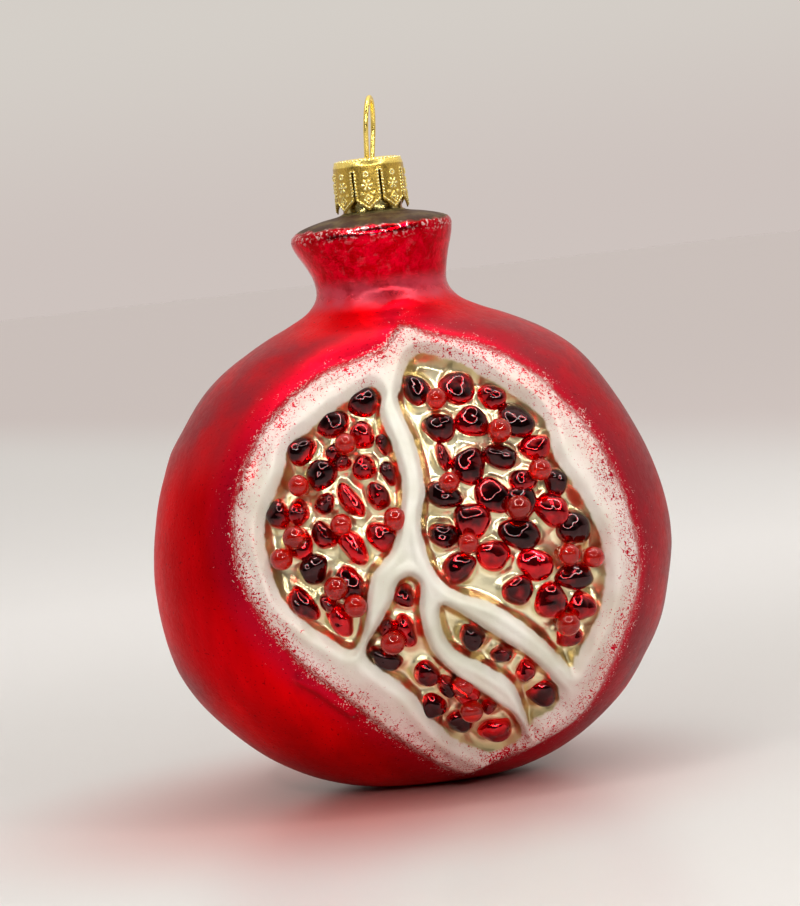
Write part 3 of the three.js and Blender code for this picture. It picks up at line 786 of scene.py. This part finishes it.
def glass_grid(curve, c, s):
    """Points, level and radius of the glass over a profile and a row of directions (c, s)."""
    level = np.repeat(curve[:, :1], len(c), 1)
    radius = np.repeat(curve[:, 1:], len(c), 1)
    return press(c[None], s[None], radius, level), level, radius


def skin_piece(material):
    """Whole outer skin, sunk where the opened face stands for it."""
    curve = body_curve(SKIN_STEP)
    turns = np.linspace(0, 2 * math.pi, SKIN_SIDES, endpoint=False)
    grid, level, radius = glass_grid(curve, np.cos(turns), np.sin(turns))
    grid[0, :, :2] = 0
    normal = grid_normals(grid, wrap=True)
    normal[0] = (0, 0, -1)
    flat = unrolled(level, radius)
    cut = inside_distance(*lifted(grid, normal, flat, RIM_LIFT), CUT)
    cut = np.where(grid[..., 1] < 0, cut, OUTSIDE)
    sink = 0.02 * smooth(-6.0, -4.6, cut) + 5.0 * smooth(-3.6, -1.6, cut)
    grid = grid + normal * (undulate(grid) - sink)[..., None]
    points = grid[1:].reshape(-1, 3)
    fields = {"cut_distance": np.append(cut[1:].ravel(), [OUTSIDE, OUTSIDE])}
    faces = [tuple(f) for f in grid_faces(len(curve) - 1, SKIN_SIDES, wrap=True)]
    bottom = len(points)
    faces += fan(bottom, 0, SKIN_SIDES, back=True)
    faces += fan(bottom + 1, bottom - SKIN_SIDES, SKIN_SIDES)
    points = np.vstack([points, [(0, 0, 0), (0, 0, STUB_TOP + MIDDLE_Z)]])
    return make_object("glass_skin", points, faces, material, fields)


def face_piece(material):
    """Opened face: rim, walls and gold wells as one fine relief."""
    curve = body_curve(FACE_STEP)
    curve = curve[(curve[:, 0] < FACE_TOP) & (curve[:, 1] > 4.0)]
    # Turns that stand an even step apart on the glass at its widest
    sweep = np.linspace(*np.radians(FACE_TURNS), 2000)
    arc = press(np.sin(sweep), -np.cos(sweep), WIDEST, np.zeros_like(sweep))[:, :2]
    lengths = path_lengths(arc)
    turns = np.interp(np.linspace(0, lengths[-1], int(lengths[-1] / FACE_STEP)), lengths, sweep)
    grid, level, radius = glass_grid(curve, np.sin(turns), -np.cos(turns))
    normal = grid_normals(grid)
    flat = unrolled(level, radius)
    cut = inside_distance(*lifted(grid, normal, flat, RIM_LIFT), CUT)
    well = well_distance(*lifted(grid, normal, flat, WELL_LIFT))
    seed = seed_distance(grid[..., 0], flat)
    rise = face_height(grid[..., 0], flat, cut, well, seed)
    grid = grid + normal * (undulate(grid) * (1 - smooth(0, 3, cut)) + rise)[..., None]
    faces = grid_faces(len(curve), len(turns))
    faces = faces[cut.ravel()[faces].max(1) > FACE_EDGE]
    used = np.unique(faces)
    order = np.zeros(cut.size, int)
    order[used] = np.arange(len(used))
    fields = {"cut_distance": cut, "well_distance": well, "seed_distance": seed}
    fields = {field: values.ravel()[used] for field, values in fields.items()}
    points = grid.reshape(-1, 3)[used]
    return make_object("opened_face", points, order[faces], material, fields)


def seed_group(name, seeds, material, seed_number):
    """Relief seeds of one well: uneven pebbles rooted under the gold floor."""
    rng = np.random.default_rng(seed_number)
    around = np.linspace(0, 2 * math.pi, SEED_SIDES, endpoint=False)
    down = np.radians(np.linspace(4, 125, SEED_ROWS))
    t, d = np.meshgrid(around, down)
    points, faces, tones, crowns = [], [], [], []
    for x, level, long, wide, angle, tone in seeds:
        middle, normal, _ = seed_frame(x, level)
        a = math.radians(angle)
        way = np.array([math.cos(a), 0, math.sin(a)])
        way = way - normal * way.dot(normal)
        way /= np.linalg.norm(way)
        side = np.cross(normal, way)
        phases = rng.uniform(0, 2 * math.pi, 6)
        wobble = 1 + 0.06 * np.cos(t - phases[0]) + 0.06 * np.cos(2 * t - phases[1])
        wobble += 0.05 * np.cos(3 * t - phases[2]) + 0.02 * np.cos(5 * t - phases[5])
        ring = np.sin(d) ** 0.85 * wobble * SEED_GROW
        rise = SEED_RISE * rng.uniform(0.85, 1.15)
        lean = way * rng.uniform(-0.35, 0.35) + side * rng.uniform(-0.35, 0.35)
        top = np.cos(d) * rise
        top += (0.3 * np.sin(d) * np.cos(t - phases[3])
                + 0.2 * np.sin(2 * d) * np.cos(2 * t - phases[4]))
        spot = middle + way * (ring * np.cos(t) * long / 2)[..., None]
        spot = spot + side * (ring * np.sin(t) * wide / 2)[..., None] + normal * top[..., None]
        spot = spot + lean * np.clip(np.cos(d), 0, 1)[..., None]
        start = sum(len(p) for p in points)
        points.append(spot.reshape(-1, 3))
        points.append([middle + normal * rise + lean])
        quads = grid_faces(SEED_ROWS, SEED_SIDES, wrap=True)[:, ::-1] + start
        faces += [tuple(q) for q in quads]
        pole = start + t.size
        faces += fan(pole, start, SEED_SIDES)
        faces.append(tuple(range(pole - SEED_SIDES, pole))[::-1])
        tones += [tone] * (t.size + 1)
        crowns += list(np.cos(d).ravel()) + [1.0]
    fields = {"tone": tones, "crown": crowns}
    return make_object("relief_seeds_" + name, np.vstack(points), faces, material, fields)


# Beads and glue

def bead_place(name):
    """Middle and radius of a bead's solid, in millimetres."""
    low, high = (np.array(corner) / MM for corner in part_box(name))
    return (low + high) / 2, (high - low)[0] / 2


def bead_piece(name, number, material):
    """One glued glass bead, a little out of round, where its solid stands."""
    middle, radius = bead_place(name)
    rng = np.random.default_rng(number)
    around = np.linspace(0, 2 * math.pi, BEAD_SIDES, endpoint=False)
    t, d = np.meshgrid(around, np.radians(np.linspace(3, 177, BEAD_ROWS)))
    uneven = 1 + 0.02 * np.cos(2 * t + rng.uniform(0, 6)) * np.sin(d)
    uneven = uneven - rng.uniform(0, 0.05) * np.cos(d) ** 2
    ball = np.stack([np.sin(d) * np.cos(t), np.sin(d) * np.sin(t), np.cos(d)], -1)
    ball = ball * uneven[..., None]
    spin = np.array(Matrix.Rotation(rng.uniform(0, 3), 3, Vector(rng.normal(size=3))))
    points = (ball.reshape(-1, 3) @ spin.T) * radius + middle
    poles = np.array([(0, 0, 0.98), (0, 0, -0.98)]) @ spin.T * radius + middle
    faces = [tuple(f)[::-1] for f in grid_faces(BEAD_ROWS, BEAD_SIDES, wrap=True)]
    faces += fan(len(points), 0, BEAD_SIDES)
    faces += fan(len(points) + 1, len(points) - BEAD_SIDES, BEAD_SIDES, back=True)
    return make_object("glass_" + name, np.vstack([points, poles]), faces, material)


def glue_piece(beads, material):
    """Small uneven dabs of glue that join each bead to the glass."""
    rng = np.random.default_rng(77)
    points, faces = [], []
    rows, sides = 9, 24
    around = np.linspace(0, 2 * math.pi, sides, endpoint=False)
    t, d = np.meshgrid(around, np.linspace(0, 1, rows))
    for name in beads:
        middle, radius = bead_place(name)
        skin, normal = face_point(middle[0], middle[2] - MIDDLE_Z)
        drop = (middle - skin) @ normal + WELL_DEPTH + 0.3
        way = np.cross(normal, (0, 0, 1.0))
        way /= np.linalg.norm(way)
        side = np.cross(normal, way)
        width = radius * (0.5 + 0.3 * (2 * d - 1) ** 2)
        width = width * (1 + 0.1 * np.cos(3 * t + rng.uniform(0, 6)))
        fall = radius * 0.6 + (drop - radius * 0.6) * d
        spot = middle + way * (width * np.cos(t))[..., None]
        spot = spot + side * (width * np.sin(t))[..., None] - normal * fall[..., None]
        start = sum(len(p) for p in points)
        points.append(spot.reshape(-1, 3))
        faces += [tuple(q)[::-1] for q in grid_faces(rows, sides, wrap=True) + start]
        faces.append(tuple(range(start, start + sides)))
        end = start + t.size
        faces.append(tuple(range(end - sides, end))[::-1])
    return make_object("glue_dabs", np.vstack(points), faces, material)


# Cap and hanger

CAP_TOP = 62.0
CAP_TIPS = 53.7
CAP_RADIUS = 5.66
CAP_WALL = 0.22
CAP_TABS = 8
TAB_POINT = 1.7
SLIT_TOP = 60.0
SLIT_HALF = 0.16
CAP_TURN = math.radians(-5)
STAMP_HEIGHT = 0.2
STAMP_TOP = 60.8
DOT_STEP = 0.52
TIP_DOT_STEP = 0.42
DOT_EDGE = (0.08, 0.24)
RING_LEVEL = 59.4
FLOWER_LEVEL = 57.7
LEAF_LEVEL = 56.4
DIAMOND_LEVEL = 55.5
KNOB_HEIGHT = 0.16
EDGE_BEADS = 48
EDGE_RADIUS = 5.2
EDGE_LEVEL = 61.7
PLATE_RADIUS = 4.6
PLATE_SINK = 0.25
PLATE_RELIEF = 0.35
HOLE_ACROSS = 2.5
CAP_CURVE = spline([
    (53.0, 5.70), (57.0, CAP_RADIUS), (60.0, 5.62), (61.0, 5.55),
    (EDGE_LEVEL, EDGE_RADIUS), (CAP_TOP, PLATE_RADIUS),
], 12)


def stamped(across, level, half):
    """Height of the stamped pattern of one tab: beaded edges, ring, flower and diamond."""
    aside = np.abs(across)
    edge = half - 0.34
    rows = (level - 54.2) / DOT_STEP
    dots = np.hypot(aside - edge, (rows - np.round(rows)) * DOT_STEP)
    shoulder = TAB_POINT * 0.55
    tall = smooth(54.9 + shoulder, 55.0 + shoulder, level) * (1 - smooth(60.2, 60.4, level))
    out = (1 - smooth(*DOT_EDGE, dots)) * tall
    tip_line = CAP_TIPS + TAB_POINT / half * aside + TIP_DOT_STEP
    step = aside / TIP_DOT_STEP
    tip_dots = np.hypot((step - np.round(step)) * TIP_DOT_STEP, level - tip_line)
    out += (1 - smooth(*DOT_EDGE, tip_dots)) * (aside < edge)
    ring = np.abs(np.hypot(across, level - RING_LEVEL) - 0.36)
    out += 1 - smooth(0.05, 0.17, ring)
    r = np.hypot(across, level - FLOWER_LEVEL)
    petal = np.cos(3 * np.arctan2(level - FLOWER_LEVEL, across)) ** 2
    out += (1 - smooth(0.75, 1.0, r)) * smooth(0.18, 0.4, r) * smooth(0.35, 0.8, petal)
    out += 1 - smooth(0.1, 0.26, r)
    for side in (-1, 1):
        leaf = np.hypot((across - side * 0.85) / 1.3, level - LEAF_LEVEL)
        out += 0.7 * (1 - smooth(0.12, 0.32, leaf))
    diamond = np.abs(aside + np.abs(level - DIAMOND_LEVEL) * 0.8 - 0.62)
    out += 0.9 * (1 - smooth(0.04, 0.16, diamond))
    out += 1 - smooth(0.1, 0.28, np.hypot(across, level - DIAMOND_LEVEL))
    return np.minimum(out, 1) * STAMP_HEIGHT


def cap_piece(material):
    """Stamped crown cap: eight pointed tabs under a rounded shoulder and a beaded top edge."""
    across = np.linspace(-1, 1, 41)
    lower = np.linspace(0, 1, 84)[:, None]
    shoulder = CAP_CURVE[CAP_CURVE[:, 0] > SLIT_TOP + 0.02]
    foot = CAP_TIPS + TAB_POINT * np.abs(across)[None]
    level = foot + (SLIT_TOP - foot) * lower
    level = np.vstack([level, np.repeat(shoulder[:, :1], len(across), 1)])
    s = np.repeat(across[None], len(level), 0)
    radius = np.interp(level, CAP_CURVE[:, 0], CAP_CURVE[:, 1])
    gap = SLIT_HALF / radius * (1 - smooth(SLIT_TOP - 0.25, SLIT_TOP + 0.2, level))
    half = math.pi * CAP_RADIUS / CAP_TABS
    rise = stamped(s * (half - SLIT_HALF), level, half) * (level < STAMP_TOP)
    points, faces, reliefs = [], [], []
    for tab in range(CAP_TABS):
        middle = tab * 2 * math.pi / CAP_TABS - math.pi / 2 + CAP_TURN
        turn = s * (math.pi / CAP_TABS - gap) + middle
        near = (turn * EDGE_BEADS / (2 * math.pi)) % 1 - 0.5
        bead = np.hypot(near * 2 * math.pi * EDGE_RADIUS / EDGE_BEADS,
                        np.hypot(radius - EDGE_RADIUS, level - EDGE_LEVEL))
        knob = KNOB_HEIGHT * (1 - smooth(0.08, 0.28, bead))
        relief = np.where(level < STAMP_TOP, rise / STAMP_HEIGHT, PLATE_RELIEF + knob / 0.25)
        # The beads of the top edge stand out and up alike
        out = radius + rise + 0.7 * knob
        spot = [out * np.cos(turn), out * np.sin(turn), level + 0.7 * knob + MIDDLE_Z]
        spot = np.stack(spot, -1)
        start = sum(len(p) for p in points)
        points.append(spot.reshape(-1, 3))
        reliefs.append(relief.ravel())
        faces += [tuple(q) for q in grid_faces(len(spot), len(across)) + start]
    # Top plate with the two pits that the wire goes through
    turns = np.linspace(0, 2 * math.pi, (len(across) - 1) * CAP_TABS, endpoint=False)
    turns = turns - math.pi / CAP_TABS - math.pi / 2 + CAP_TURN
    rings = np.linspace(PLATE_RADIUS, 0.05, 24)
    t, r = np.meshgrid(turns, rings)
    x, y = r * np.cos(t), r * np.sin(t)
    top = CAP_TOP - PLATE_SINK * (1 - smooth(2.2, 3.9, r))
    lean = (CAP_TOP - WIRE_PIVOT) * math.tan(WIRE_LEAN)
    for side in (-HOLE_ACROSS, HOLE_ACROSS):
        hole = np.hypot(x - side * math.cos(WIRE_TURN) - lean, y - side * math.sin(WIRE_TURN))
        top -= 0.5 * (1 - smooth(0.5, 0.75, hole))
    start = sum(len(p) for p in points)
    points.append(np.stack([x, y, top + MIDDLE_Z], -1).reshape(-1, 3))
    faces += [tuple(q) for q in grid_faces(len(rings), len(turns), wrap=True) + start]
    points.append([(0, 0, CAP_TOP - PLATE_SINK + MIDDLE_Z)])
    reliefs.append(np.full(t.size + 1, PLATE_RELIEF))
    n = len(turns)
    last = start + (len(rings) - 1) * n
    faces += [(last + i, last + (i + 1) % n, last + n) for i in range(n)]
    fields = {"relief": np.concatenate(reliefs)}
    cap = make_object("stamped_cap", np.vstack(points), faces, material, fields)
    weld = cap.modifiers.new("weld", "WELD")
    weld.merge_threshold = 0.02 * MM
    wall = cap.modifiers.new("wall", "SOLIDIFY")
    wall.thickness = CAP_WALL * MM
    wall.offset = -1
    return cap


def tube(path, radius, sides):
    """Round tube along a path, with flat ends."""
    along = np.gradient(path, axis=0)
    along /= np.linalg.norm(along, axis=1, keepdims=True)
    plane = np.array([-math.sin(WIRE_TURN), math.cos(WIRE_TURN), 0])
    side = np.cross(along, plane)
    turns = np.linspace(0, 2 * math.pi, sides, endpoint=False)
    rings = (path[:, None] + radius * (np.cos(turns)[None, :, None] * plane
             + np.sin(turns)[None, :, None] * side[:, None]))
    faces = [tuple(q) for q in grid_faces(len(path), sides, wrap=True)]
    end = len(path) * sides
    faces.append(tuple(range(sides))[::-1])
    faces.append(tuple(range(end - sides, end)))
    return rings.reshape(-1, 3), faces


def hanger_piece(material):
    """Bent wire, turned in the cap and leaning about its pivot."""
    other = [(-across, level) for across, level in reversed(WIRE_HALF)]
    flat = even(spline(WIRE_HALF + [(0, WIRE_TOP)] + other, 12), 0.25)
    across, level = flat.T
    path = [across * math.cos(WIRE_TURN), across * math.sin(WIRE_TURN), level + MIDDLE_Z]
    points, faces = tube(np.stack(path, -1), WIRE_RADIUS, 20)
    pivot = (0, 0, WIRE_PIVOT + MIDDLE_Z)
    points = (points - pivot) @ np.array(Matrix.Rotation(WIRE_LEAN, 3, "Y")).T + pivot
    return make_object("gold_wire", points, faces, material)


# Camera, floor and light

def camera_axes():
    forward = np.array([0, math.cos(CAMERA_RISE), -math.sin(CAMERA_RISE)])
    level_up = np.array([0, math.sin(CAMERA_RISE), math.cos(CAMERA_RISE)])
    level_right = np.array([1.0, 0, 0])
    right = level_right * math.cos(CAMERA_ROLL) - level_up * math.sin(CAMERA_ROLL)
    up = level_right * math.sin(CAMERA_ROLL) + level_up * math.cos(CAMERA_ROLL)
    return forward, right, up


def make_camera():
    forward, right, up = camera_axes()
    centre = np.array([0, 0, MIDDLE_Z])
    aim = (FRAME_W / 2 - AXIS_PX) * MM_PER_PX * right
    aim = aim + (MIDDLE_PX - FRAME_H / 2) * MM_PER_PX * up
    place = centre + aim - forward * CAMERA_DISTANCE
    data = bpy.data.cameras.new("camera")
    data.sensor_width = 36.0
    data.lens = CAMERA_DISTANCE / MM_PER_PX / FRAME_H * data.sensor_width
    data.clip_start = 0.02
    data.clip_end = 30.0
    camera = bpy.data.objects.new("camera", data)
    axes = Matrix([right, up, -forward]).transposed()
    camera.matrix_world = Matrix.Translation(Vector(place) * MM) @ axes.to_4x4()
    bpy.context.scene.collection.objects.link(camera)
    bpy.context.scene.camera = camera


def glow_material(name, colour, strength):
    look = Look(name)
    look.set(Base_Color=BLACK, Roughness=1.0, Specular_IOR_Level=0.0)
    look.set(Emission_Color=colour, Emission_Strength=strength)
    return look.material


# Direction on the floor along which it darkens into the backdrop, seen level in the photograph
FADE_WAY = (0.87, 0.49)
FADE_START, FADE_END = 0.30, 0.52
FLOOR_NEAR = (0.60, 0.585, 0.575)
# Painted light: the floor is painted brighter behind the ornament
FLOOR_LIT = (0.94, 0.93, 0.93)
LIT_FROM, LIT_TO = 30, 330
# Painted shade: far off, the floor is painted darker into the backdrop
FLOOR_FAR_SHADE = (0.80, 0.70, 0.70)
# Painted red shadow and reflection of the ornament on the floor round its foot, more to the left
FOOT = (-13, -12)
FLOOR_RED_SHADOW = (0.54, 0.23, 0.21)
FOOT_FROM, FOOT_TO = 72, 6
# In metres
FLOOR_SIZE = 12
FLOOR_GAP = 0.00002


def make_floor():
    look = Look("pale floor")
    x, y = look.along("X"), look.along("Y")
    away = look.plus(look.times(x, MM * FADE_WAY[0]), look.times(y, MM * FADE_WAY[1]))
    # Painted light behind the ornament, then painted shade far off into the backdrop
    tone = look.blend(look.fade(y, LIT_FROM, LIT_TO), FLOOR_NEAR, FLOOR_LIT)
    tone = look.blend(look.fade(away, FADE_START, FADE_END), tone, FLOOR_FAR_SHADE)
    reach = look.length(look.minus(x, FOOT[0]), look.minus(y, FOOT[1]))
    # Painted red shadow and reflection round the ornament's foot
    tone = look.blend(look.fade(reach, FOOT_FROM, FOOT_TO), tone, FLOOR_RED_SHADOW)
    look.set(Base_Color=tone, Roughness=0.3)
    bpy.ops.mesh.primitive_plane_add(size=FLOOR_SIZE, location=(0, 0, -FLOOR_GAP))
    floor = bpy.context.object
    floor.name = "floor"
    floor.data.materials.append(look.material)


RING_DISTANCE = 430.0
RING_RISE = math.radians(49)
RING_RADIUS = 265.0
RING_TUBE = 6.5
RING_GLOW = 42.0


def make_ring_light():
    forward, _, up = camera_axes()
    toward = -forward * math.cos(RING_RISE) + up * math.sin(RING_RISE)
    place = np.array([0, 0, MIDDLE_Z]) + toward * RING_DISTANCE
    bpy.ops.mesh.primitive_torus_add(major_radius=RING_RADIUS * MM, minor_radius=RING_TUBE * MM,
                                     major_segments=72, minor_segments=12)
    ring = bpy.context.object
    ring.name = "ring_light"
    ring.matrix_world = (Matrix.Translation(Vector(place) * MM)
                         @ Vector(toward).to_track_quat("Z", "Y").to_matrix().to_4x4())
    ring.data.materials.append(glow_material("ring glow", RING_WHITE, RING_GLOW))
    ring.visible_camera = False


BACKDROP = (0.615, 0.545, 0.515)
BACKDROP_HIGH = (0.66, 0.62, 0.575)
ROOM_DARK = (0.05, 0.045, 0.045)
CEILING = (1.15, 1.11, 1.06)
CEILING_WAY = (0.25, 0.35, 1.0)


def make_world():
    """Soft room light: bright above and behind, and dark in front round the camera."""
    world = bpy.data.worlds.new("soft room")
    world.use_nodes = True
    room = Nodes(world.node_tree)
    way = room.place("Generated")
    parts = room.parts(way)
    behind = room.blend(room.fade(parts["Z"], 0.0, 0.08), BACKDROP, BACKDROP_HIGH)
    sides = room.blend(room.fade(parts["Y"], -0.1, -0.6), behind, ROOM_DARK)
    over = room.tree.nodes.new("ShaderNodeVectorMath")
    over.operation = "DOT_PRODUCT"
    room.feed(over.inputs[0], way)
    over.inputs[1].default_value = CEILING_WAY
    colour = room.blend(room.fade(over.outputs["Value"], 0.65, 1.05), sides, CEILING)
    room.feed(room.tree.nodes["Background"].inputs["Color"], colour)
    bpy.context.scene.world = world
    view = bpy.context.scene.view_settings
    view.view_transform = "Standard"
    view.look = "None"


# Build everything

make_camera()
make_world()
make_floor()
make_ring_light()

SKIN = skin_look()
FACE = face_look()
SEED = seed_look()
BEAD = bead_look()
GLUE = glue_look()
CAP_GOLD = gold_look("stamped gold sheet", 0.75, True)
WIRE_GOLD = gold_look("gold wire", 1.0, False)


def dress(piece, slot, *nodes):
    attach(piece, "root")
    if nodes:
        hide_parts(*nodes)


dress(skin_piece(SKIN), "lacquered_glass", "glass_body")
dress(face_piece(FACE), "lacquered_glass", "glass_body")
for number, (well_name, seeds) in enumerate(SEEDS.items()):
    dress(seed_group(well_name, seeds, SEED, 100 + number), "lacquered_glass", "glass_body")
bead_names = sorted(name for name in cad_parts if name.startswith("bead_"))
for number, name in enumerate(bead_names):
    dress(bead_piece(name, 200 + number, BEAD), "red_bead", name)
dress(glue_piece(bead_names, GLUE), "red_bead")
dress(cap_piece(CAP_GOLD), "gold_metal", "cap")
dress(hanger_piece(WIRE_GOLD), "gold_metal", "hanger_wire")
